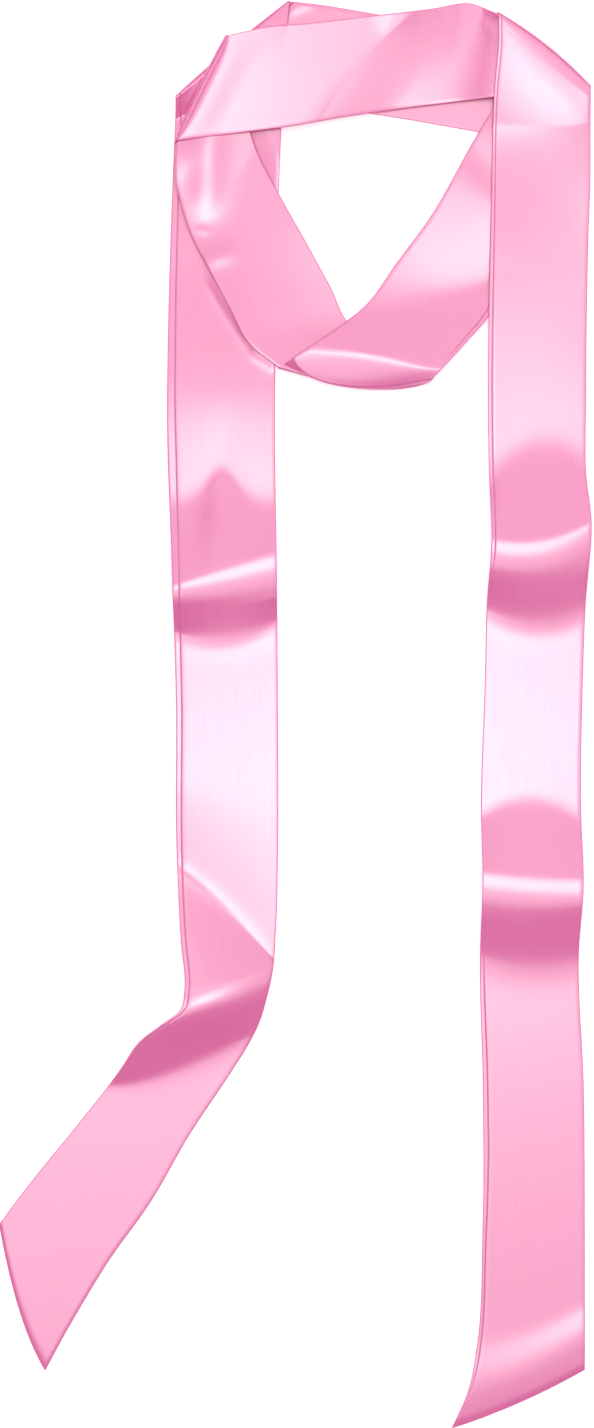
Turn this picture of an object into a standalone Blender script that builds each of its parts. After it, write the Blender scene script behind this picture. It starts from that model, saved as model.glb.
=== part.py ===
"""A skinny satin scarf laid on a table: one turn for the neck and two tails hanging from it.

The scarf is a single strip of satin, folded lengthwise, sewn along one long edge, turned
through and pressed, with both ends cut on the slant and closed. Laid down it is a flat pressed
tube, and each stretch of it that shows is one closed wall below, in the order in which the
scarf runs: left tail, rear band, lower right band, left front band, front top band, right tail.

Sizes are in millimetres. X runs across the tails to the right, Y up the tails to the neck
loop, Z up from the table. The tables below are in that frame to within a millimetre, and the
finished walls are moved together so that the middle of their outline is the origin.
"""
import math
from collections import namedtuple

import bmesh
import bpy
import numpy as np

MILLIMETRE = 0.001

# The pressed tube, and how its stretches lie on each other.
WALL = 1.2
AIR = 0.5
JOINT_GAP = 0.35
LAYER = WALL + AIR
ON_TABLE = WALL / 2
OVER_ONE = ON_TABLE + LAYER
OVER_TWO = ON_TABLE + 2 * LAYER
OVER_THREE = ON_TABLE + 3 * LAYER

# How high the middle of the wall is where one stretch turns over another.
TOP_LEFT_RISE = ON_TABLE + 2.5
TOP_RIGHT_RISE = ON_TABLE + 2.5
LEFT_UNDER = OVER_TWO + 0.8
LEFT_RISE = LEFT_UNDER + 3.8
RIGHT_UNDER = OVER_TWO + 0.7
RIGHT_RISE = RIGHT_UNDER + 3.8
BOTTOM_RISE = 8.6

# Crests that the packing folds left across the tails.
UPPER_CREST = 8.5
LOWER_CREST_LEFT = 11.0
LOWER_CREST_RIGHT = 7.5

# The grid of each wall.
COLUMNS = 7
LONGEST_CELL = 17.0
TURN_STEPS = 7
RUN_OUT = 1.0
FOLD_STEPS = (0.0, 1.0, 2.6)
SETTLED = 0.02

Crease = namedtuple("Crease", "start_x start_y end_x end_y bulge bow")
Turn = namedtuple("Turn", "crease on_top")
Section = namedtuple("Section", "left_x left_y right_x right_y")
Fold = namedtuple("Fold", "left middle right rise_left rise_middle rise_right soft")
Stretch = namedtuple("Stretch", "name start end sections folds")

TOP_LEFT_CREASE = Crease(-61.5, 313.5, -3.5, 362.5, bulge=1.8, bow=1.0)
TOP_RIGHT_CREASE = Crease(121.0, 341.0, 145.0, 286.0, bulge=1.8, bow=0.0)
BOTTOM_CREASE = Crease(-9.5, 175.5, 68.0, 168.0, bulge=6.0, bow=5.2)
LEFT_CREASE = Crease(-62.0, 291.0, -35.5, 344.0, bulge=4.0, bow=1.2)
RIGHT_CREASE = Crease(97.5, 361.0, 149.5, 318.0, bulge=4.0, bow=3.0)


def level(left, middle, right, rise, soft):
    """A fold line whose rise above the table is the same all the way across."""
    return Fold(left, middle, right, rise, rise, rise, soft)


LEFT_TAIL = Stretch(
    name="left_tail",
    start=Turn(TOP_LEFT_CREASE, on_top=True),
    end=None,
    sections=(
        Section(-62.0, 298.0, -6.0, 327.5),
        Section(-63.0, 276.5, -8.5, 279.0),
        Section(-65.5, 195.0, -10.5, 195.0),
        Section(-66.0, 149.0, -11.0, 149.0),
        Section(-63.5, 72.5, -10.0, 72.5),
        Section(-61.5, 6.5, -9.5, 6.5),
        Section(-61.0, -75.0, -9.5, -75.0),
        Section(-59.0, -115.0, -10.5, -111.0),
        Section(-57.0, -141.5, -12.5, -134.0),
        Section(-59.0, -151.0, -15.0, -145.0),
        Section(-68.5, -158.5, -18.5, -157.0),
        Section(-79.5, -167.0, -24.0, -168.5),
        Section(-89.0, -180.5, -34.0, -184.5),
        Section(-98.5, -193.5, -54.0, -214.5),
        Section(-112.0, -210.5, -73.0, -247.5),
        Section(-132.0, -235.0, -97.5, -282.5),
        Section(-142.5, -248.5, -115.5, -312.5),
        Section(-154.0, -264.0, -130.5, -340.0),
    ),
    folds=(
        level(0, 0, 0, TOP_LEFT_RISE, 3.0),
        level(6, 31, 43, OVER_ONE, 3.0),
        level(22, 46, 59, ON_TABLE, 3.0),
        level(230, 210, 231, ON_TABLE, 3.0),
        level(274, 266, 258, UPPER_CREST, 1.8),
        level(297, 305, 293, ON_TABLE, 3.0),
        level(373, 382, 391, ON_TABLE, 5.0),
        Fold(418, 440, 462, 2.4, 3.6, 7.6, 4.0),
        Fold(481, 482, 472, LOWER_CREST_LEFT, LOWER_CREST_LEFT, LOWER_CREST_LEFT - 1.5, 1.8),
        level(540, 525, 511, ON_TABLE, 4.0),
        level(665, 670, 666, ON_TABLE, 4.0),
    ),
)

REAR_BAND = Stretch(
    name="rear_band",
    start=Turn(TOP_LEFT_CREASE, on_top=False),
    end=Turn(TOP_RIGHT_CREASE, on_top=False),
    sections=(
        Section(7.0, 361.5, -36.5, 312.0),
        Section(44.0, 355.5, 35.0, 305.5),
        Section(83.5, 348.5, 81.0, 298.0),
        Section(104.0, 345.0, 114.0, 292.0),
    ),
    folds=(
        level(0, 0, 0, ON_TABLE, 3.0),
        level(166, 166, 166, ON_TABLE, 3.0),
    ),
)

LOWER_RIGHT_BAND = Stretch(
    name="lower_right_band",
    start=Turn(TOP_RIGHT_CREASE, on_top=True),
    end=Turn(BOTTOM_CREASE, on_top=True),
    sections=(
        Section(110.5, 323.5, 141.5, 279.0),
        Section(92.5, 295.0, 132.0, 262.0),
        Section(68.5, 253.0, 111.5, 226.5),
        Section(50.5, 228.5, 97.0, 200.5),
        Section(36.5, 209.0, 87.5, 189.5),
        Section(23.0, 197.5, 78.0, 179.0),
    ),
    folds=(
        level(0, 0, 0, TOP_RIGHT_RISE, 3.0),
        level(46, 31, 9, OVER_ONE, 3.0),
        level(62, 48, 26, ON_TABLE, 3.0),
        level(137, 126, 112, ON_TABLE, 3.0),
        Fold(160, 160, 158, BOTTOM_RISE, BOTTOM_RISE, BOTTOM_RISE - 0.6, 2.5),
        Fold(172, 172, 172, BOTTOM_RISE, BOTTOM_RISE, BOTTOM_RISE - 0.6, 2.5),
    ),
)

LEFT_FRONT_BAND = Stretch(
    name="left_front_band",
    start=Turn(BOTTOM_CREASE, on_top=False),
    end=Turn(LEFT_CREASE, on_top=False),
    sections=(
        Section(-22.5, 186.0, 43.0, 187.5),
        Section(-27.0, 191.5, 28.0, 197.0),
        Section(-33.5, 204.5, 17.5, 216.5),
        Section(-42.5, 221.5, 5.5, 238.5),
        Section(-54.5, 245.0, -8.0, 262.5),
        Section(-61.0, 267.0, -20.0, 285.5),
    ),
    folds=(
        Fold(0, 0, 0, OVER_ONE, 1.5, ON_TABLE, 4.0),
        Fold(36, 36, 36, OVER_ONE, OVER_ONE, ON_TABLE, 6.0),
        Fold(78, 78, 78, OVER_ONE, 2.8, 1.4, 6.0),
        Fold(104, 104, 104, OVER_ONE, 3.2, 2.6, 6.0),
        Fold(136, 136, 136, 3.6, 4.6, 4.6, 4.0),
        level(150, 150, 150, LEFT_UNDER, 2.0),
        level(165, 165, 165, LEFT_UNDER, 2.0),
    ),
)

FRONT_TOP_BAND = Stretch(
    name="front_top_band",
    start=Turn(LEFT_CREASE, on_top=True),
    end=Turn(RIGHT_CREASE, on_top=False),
    sections=(
        Section(-17.5, 347.5, -42.0, 293.0),
        Section(7.0, 350.0, -3.5, 298.0),
        Section(35.0, 353.5, 24.5, 303.0),
        Section(68.0, 358.8, 58.0, 308.0),
        Section(81.0, 361.0, 92.0, 312.0),
    ),
    folds=(
        level(0, 0, 0, LEFT_RISE, 3.0),
        level(7, 7, 7, LEFT_RISE - 0.2, 3.0),
        level(36, 34, 34, OVER_THREE + 0.6, 4.0),
        level(50, 52, 54, OVER_TWO + 0.9, 4.0),
        level(66, 76, 86, OVER_ONE, 5.0),
        level(122, 118, 112, OVER_ONE, 4.0),
        level(148, 140, 130, RIGHT_UNDER, 4.0),
        level(168, 168, 168, RIGHT_UNDER, 4.0),
    ),
)

RIGHT_TAIL = Stretch(
    name="right_tail",
    start=Turn(RIGHT_CREASE, on_top=True),
    end=None,
    sections=(
        Section(102.5, 341.0, 149.5, 297.0),
        Section(100.5, 317.5, 149.5, 274.0),
        Section(99.0, 261.5, 148.5, 241.0),
        Section(97.5, 159.5, 147.5, 159.5),
        Section(98.0, 123.5, 147.5, 123.5),
        Section(99.0, 88.0, 150.0, 94.5),
        Section(97.0, 57.5, 147.5, 57.5),
        Section(96.0, 16.5, 146.0, 16.5),
        Section(94.0, -44.5, 145.0, -44.5),
        Section(94.5, -88.0, 146.0, -89.5),
        Section(93.5, -121.0, 144.0, -121.0),
        Section(95.0, -192.5, 146.5, -192.5),
        Section(94.8, -264.0, 147.0, -264.0),
        Section(92.0, -322.5, 147.0, -304.5),
        Section(87.5, -345.5, 147.0, -322.0),
        Section(78.5, -366.0, 147.0, -338.5),
    ),
    folds=(
        level(0, 0, 0, RIGHT_RISE, 3.0),
        level(7, 7, 7, RIGHT_RISE - 0.2, 3.0),
        level(44, 42, 42, OVER_THREE + 1.0, 4.0),
        level(80, 71, 58, OVER_THREE + 0.3, 5.0),
        level(188, 160, 135, ON_TABLE, 5.0),
        level(217, 204, 212, ON_TABLE, 3.0),
        level(249, 250, 248, UPPER_CREST, 1.8),
        level(288, 302, 291, ON_TABLE, 3.0),
        level(391, 381, 390, ON_TABLE, 3.0),
        level(423, 425, 426, LOWER_CREST_RIGHT, 1.8),
        level(466, 472, 475, ON_TABLE, 3.0),
        level(685, 686, 682, ON_TABLE, 3.0),
    ),
)

STRETCHES = (LEFT_TAIL, REAR_BAND, LOWER_RIGHT_BAND, LEFT_FRONT_BAND, FRONT_TOP_BAND, RIGHT_TAIL)

SATIN_COLOUR = (0.90, 0.30, 0.52, 1.0)
SATIN_ROUGHNESS = 0.35
SHARP_ANGLE = math.radians(50)


def clear_scene():
    """Remove whatever the scene holds."""
    for thing in list(bpy.data.objects):
        bpy.data.objects.remove(thing, do_unlink=True)


def smooth(knots, values, places):
    """Read the smooth curve through values at knots, at the given places along it."""
    steps = np.diff(knots)[:, None]
    slopes = np.diff(values, axis=0) / steps
    inner = (slopes[:-1] * steps[1:] + slopes[1:] * steps[:-1]) / (steps[:-1] + steps[1:])
    tangents = np.concatenate([slopes[:1], inner, slopes[-1:]])
    spans = np.clip(np.searchsorted(knots, places, side="right") - 1, 0, len(steps) - 1)
    step = steps[spans]
    done = (places - knots[spans])[:, None] / step
    left = 1.0 - done
    ends = values[spans] * left**2 * (1 + 2 * done) + values[spans + 1] * done**2 * (3 - 2 * done)
    bends = tangents[spans] * done * left**2 - tangents[spans + 1] * done**2 * left
    return ends + bends * step


def across(left, middle, right, share):
    """Read the parabola through both edges and the middle, at a share of the way across."""
    at_left = left * (1 - share) * (1 - 2 * share)
    at_middle = middle * 4 * share * (1 - share)
    at_right = right * share * (2 * share - 1)
    return at_left + at_middle + at_right


def corners(section):
    """The left and the right point of a section."""
    return np.array([[section.left_x, section.left_y], [section.right_x, section.right_y]])


def crease_ends(crease, beside):
    """The two ends of a crease line, in the left and right order of the section beside it."""
    ends = np.array([[crease.start_x, crease.start_y], [crease.end_x, crease.end_y]])
    same_order = np.linalg.norm(ends - beside, axis=1).sum()
    other_order = np.linalg.norm(ends[::-1] - beside, axis=1).sum()
    return ends if same_order <= other_order else ends[::-1]


def outward(crease, beside):
    """Unit vector in plan that is square to a crease line and points away from the cloth."""
    ends = crease_ends(crease, beside)
    run = ends[1] - ends[0]
    normal = np.array([-run[1], run[0]]) / np.hypot(*run)
    return normal if (ends - beside).sum(axis=0) @ normal > 0 else -normal


def edge_line(crease, beside, distance):
    """The line at a distance in from a crease, its ends slid along the edges of the cloth."""
    ends = crease_ends(crease, beside)
    depths = (ends - beside) @ outward(crease, beside)
    return ends + (beside - ends) * (distance / depths)[:, None]


def end_line(end, beside):
    """Where the flat part of a stretch stops at a crease."""
    clear = 0.0 if end.on_top else RUN_OUT + JOINT_GAP
    return edge_line(end.crease, beside, end.crease.bulge + clear)


def section_lines(stretch):
    """The left and right points of each section of the flat part, creased ends included."""
    lines = [corners(section) for section in stretch.sections]
    first = [end_line(stretch.start, lines[0])] if stretch.start else []
    last = [end_line(stretch.end, lines[-1])] if stretch.end else []
    return np.array(first + lines + last)


def row_places(folds):
    """Where the rows of the grid lie: close together at each fold, further apart between."""
    middles = [fold.middle for fold in folds]
    wanted = set(middles)
    for before, fold, after in zip(folds[:-2], folds[1:-1], folds[2:]):
        lowest = (before.middle + fold.middle) / 2
        highest = (fold.middle + after.middle) / 2
        for step in FOLD_STEPS:
            offsets = (fold.middle - step * fold.soft, fold.middle + step * fold.soft)
            wanted.update(place for place in offsets if lowest < place < highest)
    rows = sorted(wanted)
    filled = [rows[:1]]
    for before, after in zip(rows[:-1], rows[1:]):
        cells = math.ceil((after - before) / LONGEST_CELL)
        filled.append(np.linspace(before, after, cells + 1)[1:])
    return np.concatenate(filled)


def rounded(middles, rises, softs, places):
    """Read a line of straight slopes whose corners are rounded, each by its own softness."""
    slopes = np.diff(rises) / np.diff(middles)
    heights = rises[0] + slopes[0] * (places - middles[0])
    for middle, turn, soft in zip(middles[1:-1], np.diff(slopes), softs[1:-1]):
        heights = heights + turn * soft * np.logaddexp(0.0, (places - middle) / soft)
    return heights


def settled(heights):
    """Lay on the table what is lower than that, or all but on it."""
    return np.where(heights < ON_TABLE + SETTLED, ON_TABLE, heights)


def fold_column(folds, name):
    """One named column of a table of folds."""
    return np.array([getattr(fold, name) for fold in folds], dtype=float)


def flat_grid(stretch):
    """The middle surface of a stretch between its creases, as rows of points."""
    lines = section_lines(stretch)
    middles = lines.mean(axis=1)
    knots = np.concatenate([[0.0], np.cumsum(np.linalg.norm(np.diff(middles, axis=0), axis=1))])
    folds = stretch.folds
    places = row_places(folds)
    fold_middles = fold_column(folds, "middle")
    stations = [np.interp(places, fold_middles, fold_column(folds, side)) * knots[-1] / fold_middles[-1]
                for side in ("left", "middle", "right")]
    rises = [rounded(fold_middles, fold_column(folds, side), fold_column(folds, "soft"), places)
             for side in ("rise_left", "rise_middle", "rise_right")]
    grid = np.empty((len(places), COLUMNS, 3))
    for column, share in enumerate(np.linspace(0.0, 1.0, COLUMNS)):
        along = np.clip(across(*stations, share), 0.0, knots[-1])
        left_edge = smooth(knots, lines[:, 0], along)
        right_edge = smooth(knots, lines[:, 1], along)
        grid[:, column, :2] = left_edge * (1 - share) + right_edge * share
        grid[:, column, 2] = settled(across(*rises, share))
    return grid


def stretch_below(crease):
    """The stretch that a crease turns down to, and the index of its row at the crease."""
    lower_turn = Turn(crease, on_top=False)
    lower = next(stretch for stretch in STRETCHES if lower_turn in (stretch.start, stretch.end))
    return lower, 0 if lower.start == lower_turn else -1


def turn_rows(edge, crease, beside):
    """The rows of a crease, from just past the flat edge round and down to the stretch below."""
    lower, side = stretch_below(crease)
    lower_beside = corners(lower.sections[side])
    shares = np.linspace(0.0, 1.0, COLUMNS)[:, None]
    same_order = np.allclose(crease_ends(crease, beside), crease_ends(crease, lower_beside))
    fold = lower.folds[side]
    sunk = across(fold.rise_left, fold.rise_middle, fold.rise_right, shares[:, 0])

    def lower_row(distance):
        ends = edge_line(crease, lower_beside, distance)
        row = np.hstack([ends[0] * (1 - shares) + ends[1] * shares, sunk[:, None]])
        return row if same_order else row[::-1]

    below = lower_row(crease.bulge)
    bulge = (crease.bulge + crease.bow * 4 * shares * (1 - shares)) * outward(crease, beside)
    rows = []
    for angle in np.linspace(0.0, math.pi, TURN_STEPS + 1)[1:]:
        turned = (1 - math.cos(angle)) / 2
        row = edge * (1 - turned) + below * turned
        row[:, :2] += bulge * math.sin(angle)
        rows.append(row)
    return rows + [lower_row(crease.bulge + RUN_OUT)]


def whole_grid(stretch):
    """The middle surface of a stretch with the creases that belong to it."""
    grid = flat_grid(stretch)
    rows = list(grid)
    if stretch.start and stretch.start.on_top:
        rows = turn_rows(grid[0], stretch.start.crease, corners(stretch.sections[0]))[::-1] + rows
    if stretch.end and stretch.end.on_top:
        rows = rows + turn_rows(grid[-1], stretch.end.crease, corners(stretch.sections[-1]))
    return np.array(rows)


def unit(vectors):
    """Vectors scaled to a length of one."""
    return vectors / np.linalg.norm(vectors, axis=-1, keepdims=True)


def grid_normals(grid):
    """The direction square to the middle surface at each of its points."""
    steps = unit(np.diff(grid, axis=0))
    along = unit(np.concatenate([steps[:1], steps[:-1] + steps[1:], steps[-1:]]))
    sides = unit(np.diff(grid, axis=1))
    sideways = unit(np.concatenate([sides[:, :1], sides[:, :-1] + sides[:, 1:], sides[:, -1:]], axis=1))
    normals = unit(np.cross(sideways, along))
    return normals if normals[:, :, 2].sum() > 0 else -normals


def wall_faces(rows, columns):
    """The quads of a closed wall whose upper and lower grids follow each other."""
    def corner(side, row, column):
        return (side * rows + row) * columns + column

    faces = []
    for row in range(rows - 1):
        for column in range(columns - 1):
            for side in (0, 1):
                faces.append((corner(side, row, column), corner(side, row + 1, column),
                              corner(side, row + 1, column + 1), corner(side, row, column + 1)))
        for column in (0, columns - 1):
            faces.append((corner(0, row, column), corner(0, row + 1, column),
                          corner(1, row + 1, column), corner(1, row, column)))
    for row in (0, rows - 1):
        for column in range(columns - 1):
            faces.append((corner(0, row, column), corner(0, row, column + 1),
                          corner(1, row, column + 1), corner(1, row, column)))
    return faces


def satin(name):
    """The pink satin of one stretch."""
    material = bpy.data.materials.new(name)
    material.use_nodes = True
    shader = material.node_tree.nodes["Principled BSDF"]
    shader.inputs["Base Color"].default_value = SATIN_COLOUR
    shader.inputs["Roughness"].default_value = SATIN_ROUGHNESS
    shader.inputs["Metallic"].default_value = 0.0
    material.diffuse_color = SATIN_COLOUR
    return material


def wall_points(stretch):
    """The upper and the lower grid of a stretch's wall."""
    grid = whole_grid(stretch)
    half_wall = grid_normals(grid) * WALL / 2
    return np.array([grid + half_wall, grid - half_wall])


def outline_middle(walls):
    """The point on the table below the middle of the whole outline."""
    points = np.concatenate([wall.reshape(-1, 3) for wall in walls])
    middle = (points.min(axis=0) + points.max(axis=0)) / 2
    return np.array([middle[0], middle[1], 0.0])


def build_wall(stretch, points):
    """Make the closed wall of one stretch as a named object."""
    rows, columns = points.shape[1:3]
    mesh = bpy.data.meshes.new(stretch.name)
    mesh.from_pydata((points.reshape(-1, 3) * MILLIMETRE).tolist(), [], wall_faces(rows, columns))
    wall = bmesh.new()
    wall.from_mesh(mesh)
    bmesh.ops.recalc_face_normals(wall, faces=wall.faces)
    wall.to_mesh(mesh)
    wall.free()
    mesh.shade_smooth()
    mesh.set_sharp_from_angle(angle=SHARP_ANGLE)
    mesh.materials.append(satin(stretch.name + " satin"))
    piece = bpy.data.objects.new(stretch.name, mesh)
    bpy.context.scene.collection.objects.link(piece)
    return piece


def main():
    """Build the six stretches of the scarf under one empty."""
    clear_scene()
    scarf = bpy.data.objects.new("skinny scarf", None)
    bpy.context.scene.collection.objects.link(scarf)
    walls = [wall_points(stretch) for stretch in STRETCHES]
    middle = outline_middle(walls)
    for stretch, points in zip(STRETCHES, walls):
        build_wall(stretch, points - middle).parent = scarf


main()
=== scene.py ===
"""A skinny pink satin scarf, laid flat and wound once round for the neck: the looks of its cloth.

The scarf is one strip of satin, folded lengthwise, sewn along one long edge, turned through and
pressed. Each of its six stretches is a thin pressed tube here, in the order in which the scarf
runs: left tail, rear band, lower right band, left front band, front top band, right tail. The
tables are in millimetres in the plane of the table, X to the right and Y up the tails, with
their zero about a millimetre from the part's origin. Meshes are in metres.
"""

import logging
import math
from dataclasses import dataclass
from enum import Enum

import bmesh
import bpy
import numpy as np
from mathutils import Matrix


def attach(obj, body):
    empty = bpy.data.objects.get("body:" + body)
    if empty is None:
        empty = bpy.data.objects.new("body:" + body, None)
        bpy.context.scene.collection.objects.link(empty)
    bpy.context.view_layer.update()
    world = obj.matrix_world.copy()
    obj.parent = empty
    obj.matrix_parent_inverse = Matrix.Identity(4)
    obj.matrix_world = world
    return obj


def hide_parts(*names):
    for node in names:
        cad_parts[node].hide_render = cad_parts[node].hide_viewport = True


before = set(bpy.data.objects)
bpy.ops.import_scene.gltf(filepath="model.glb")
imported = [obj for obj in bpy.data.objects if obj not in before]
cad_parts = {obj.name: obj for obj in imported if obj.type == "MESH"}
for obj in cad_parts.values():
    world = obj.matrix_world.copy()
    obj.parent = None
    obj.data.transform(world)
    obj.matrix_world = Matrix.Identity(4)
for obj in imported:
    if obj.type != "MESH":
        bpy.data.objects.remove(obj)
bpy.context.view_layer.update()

log = logging.getLogger("scarf")

MM = 0.001
TABLE_ZERO = np.array([0.505, 0.850, 0.0])
BODY = "root"
WHITE = (1.0, 1.0, 1.0, 1.0)

# The pressed tube and how its stretches lie on each other.
THICKNESS = 1.2
AIR = 0.5
ON_TABLE = THICKNESS / 2
LAYER = THICKNESS + AIR
OVER_ONE = ON_TABLE + LAYER
OVER_TWO = ON_TABLE + 2 * LAYER

# How high the middle of the cloth is where one stretch turns over another.
TOP_RISE = ON_TABLE + 2.5
LEFT_UNDER = OVER_TWO + 1.2
RIGHT_UNDER = OVER_TWO + 1.9
BOTTOM_RISE = 4.9

# How a stretch ends at a crease, and how its roll narrows towards the corners.
RUN_OUT = 1.0
JOINT_GAP = 0.15
CORNER_ROLL = 0.2
CORNER_SHARPNESS = 3
SETTLE = 16.0
TUCK = 1.4
TUCK_REACH = 0.5

# How steeply a ripple fades at its ends, and how strongly the seam darkens the colour: partly the
# seam line's own pink, partly painted shade of its groove.
FADE_SLOPE = 4
SEAM_SHADE_GAIN = 5

# How near points are merged into one, in millimetres.
MERGE_REACH = 0.005

# How far off the point lies that turns the gloss to the threads, in metres.
GRAIN_REACH = 100.0


class Side(Enum):
    """The long edge of a stretch that holds the seam, in the order of its sections."""

    LEFT = "left"
    RIGHT = "right"


@dataclass(frozen=True)
class Crease:
    """A line where the scarf turns over.

    Its soft roll and its middle stand out by a bulge and a bow. The roll is full below a
    fullness of one and pointed above it, and its end is tucked under the stretch below.
    """

    start_x: float
    start_y: float
    end_x: float
    end_y: float
    bulge: float
    bow: float = 0.0
    fullness: float = 1.0
    tuck: float = 0.0

    def ends(self, beside: np.ndarray) -> np.ndarray:
        """The two ends of the crease, in the left and right order of the section beside it.

        Args:
            beside: The left and the right point of the nearest section.

        Returns:
            The two end points, one a row.
        """
        ends = np.array([[self.start_x, self.start_y], [self.end_x, self.end_y]])
        as_it_is = np.linalg.norm(ends - beside, axis=1).sum()
        swapped = np.linalg.norm(ends[::-1] - beside, axis=1).sum()
        return ends if as_it_is <= swapped else ends[::-1]

    def outward(self, beside: np.ndarray) -> np.ndarray:
        """The direction in plan that is square to the crease and points away from the cloth.

        Args:
            beside: The left and the right point of the nearest section.

        Returns:
            A unit vector.
        """
        ends = self.ends(beside)
        run = ends[1] - ends[0]
        normal = np.array([-run[1], run[0]]) / np.hypot(*run)
        return normal if (ends - beside).sum(axis=0) @ normal > 0 else -normal

    def rolls(self, shares: np.ndarray) -> np.ndarray:
        """How far the soft roll stands out: least at the corners.

        Args:
            shares: How far along the crease each point is, from 0 to 1.

        Returns:
            The reach of the roll at each point.
        """
        to_corner = np.abs(2 * shares - 1) ** CORNER_SHARPNESS
        return self.bulge * (1 - (1 - CORNER_ROLL) * to_corner)

    def bows(self, shares: np.ndarray) -> np.ndarray:
        """How far the crease bends outward: most in the middle.

        Args:
            shares: How far along the crease each point is, from 0 to 1.

        Returns:
            The bend at each point.
        """
        return self.bow * 4 * shares * (1 - shares)

    def points_inside(self, beside: np.ndarray, shares: np.ndarray,
                      distances: np.ndarray) -> np.ndarray:
        """Points in from the crease, slid along the direction of the cloth.

        Args:
            beside: The left and the right point of the nearest section.
            shares: How far along the crease each point is, from 0 to 1.
            distances: How far in from the crease each one is, square to it.

        Returns:
            The points, one a row.
        """
        ends = self.ends(beside)
        depths = (ends - beside) @ self.outward(beside)
        slides = (beside - ends) / depths[:, None]
        share = shares[:, None]
        on_crease = ends[0] * (1 - share) + ends[1] * share
        slide = slides[0] * (1 - share) + slides[1] * share
        return on_crease + slide * distances[:, None]


@dataclass(frozen=True)
class Turn:
    """One end of a stretch at a crease: the stretch on top carries the roll."""

    crease: Crease
    on_top: bool


@dataclass(frozen=True)
class Section:
    """The two edges of the cloth at one place along a stretch."""

    left_x: float
    left_y: float
    right_x: float
    right_y: float

    def points(self) -> np.ndarray:
        """The left and the right point, one a row."""
        return np.array([[self.left_x, self.left_y], [self.right_x, self.right_y]])


@dataclass(frozen=True)
class Fold:
    """A fold line across a stretch: where it lies along each edge and the middle, and its rise.

    Its dart is how far the line is drawn back, like a bell, about the middle of the cloth.
    """

    left: float
    middle: float
    right: float
    rise_left: float
    rise_middle: float
    rise_right: float
    soft: float
    dart: float = 0.0


@dataclass(frozen=True)
class Ripple:
    """A soft ridge along an arc in plan, which fades at both ends."""

    start_x: float
    start_y: float
    end_x: float
    end_y: float
    width: float
    height: float
    bow: float = 0.0
    fade: float = 8.0

    def heights(self, points: np.ndarray) -> np.ndarray:
        """How high the ripple stands at some points in plan.

        Args:
            points: An array whose last axis holds x and y.

        Returns:
            The heights, without that axis.
        """
        start = np.array([self.start_x, self.start_y])
        run = np.array([self.end_x, self.end_y]) - start
        length = np.hypot(*run)
        ahead = run / length
        offset = points - start
        along = offset @ ahead
        done = np.clip(along / length, 0.0, 1.0)
        aside = offset @ np.array([-ahead[1], ahead[0]]) - self.bow * 4 * done * (1 - done)
        body = np.exp(-((aside / self.width) ** 2))
        begins = 1 / (1 + np.exp(-FADE_SLOPE * along / self.fade))
        stops = 1 / (1 + np.exp(-FADE_SLOPE * (length - along) / self.fade))
        return self.height * body * begins * stops


@dataclass(frozen=True)
class SeamMark:
    """How far in from its edge the seam lies at one place along a stretch, and how deep."""

    station: float
    inset: float
    depth: float


def level(left: float, middle: float, right: float, rise: float, soft: float,
          dart: float = 0.0) -> Fold:
    """A fold line whose rise above the table is the same all the way across.

    Args:
        left: Where it meets the left edge, along the stretch.
        middle: Where it crosses the middle.
        right: Where it meets the right edge.
        rise: Its height.
        soft: How softly it bends.
        dart: How far it is drawn back about the middle.

    Returns:
        The fold.
    """
    return Fold(left, middle, right, rise, rise, rise, soft, dart)


def unit(vectors: np.ndarray) -> np.ndarray:
    """Vectors scaled to a length of one, along the last axis."""
    return vectors / np.linalg.norm(vectors, axis=-1, keepdims=True)


def distance_run(points: np.ndarray) -> np.ndarray:
    """How far lines of points have run, counted from the first point of each.

    Args:
        points: Points in order along the first axis, with their coordinates in the last.

    Returns:
        The distances, without the last axis.
    """
    steps = np.linalg.norm(np.diff(points, axis=0), axis=-1)
    return np.concatenate([np.zeros((1,) + steps.shape[1:]), np.cumsum(steps, axis=0)])


def headings(points: np.ndarray) -> np.ndarray:
    """Which way lines of points run, averaged over the steps before and after each point.

    Args:
        points: Points in order along the first axis, with their coordinates in the last.

    Returns:
        Unit vectors.
    """
    steps = unit(np.diff(points, axis=0))
    return unit(np.concatenate([steps[:1], steps[:-1] + steps[1:], steps[-1:]]))


def across(left: np.ndarray, middle: np.ndarray, right: np.ndarray,
           share: np.ndarray) -> np.ndarray:
    """Read the parabola through both edges and the middle.

    Args:
        left: Values at the left edge.
        middle: Values at the middle.
        right: Values at the right edge.
        share: How far across, from 0 to 1.

    Returns:
        The values at that share of the way across.
    """
    at_left = left * (1 - share) * (1 - 2 * share)
    at_middle = middle * 4 * share * (1 - share)
    at_right = right * share * (2 * share - 1)
    return at_left + at_middle + at_right


def smooth_line(knots: np.ndarray, values: np.ndarray, places: np.ndarray) -> np.ndarray:
    """Read the smooth curve through values at knots.

    Args:
        knots: Rising places along the curve.
        values: One row for each knot.
        places: Where to read it, in an array of any shape.

    Returns:
        The values there, in a last axis of their own.
    """
    steps = np.diff(knots)[:, None]
    slopes = np.diff(values, axis=0) / steps
    inner = (slopes[:-1] * steps[1:] + slopes[1:] * steps[:-1]) / (steps[:-1] + steps[1:])
    tangents = np.concatenate([slopes[:1], inner, slopes[-1:]])
    spans = np.clip(np.searchsorted(knots, places, side="right") - 1, 0, len(steps) - 1)
    step = steps[spans]
    done = (places - knots[spans])[..., None] / step
    left = 1.0 - done
    ends = values[spans] * left**2 * (1 + 2 * done) + values[spans + 1] * done**2 * (3 - 2 * done)
    bends = tangents[spans] * done * left**2 - tangents[spans + 1] * done**2 * left
    return ends + bends * step


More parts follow.
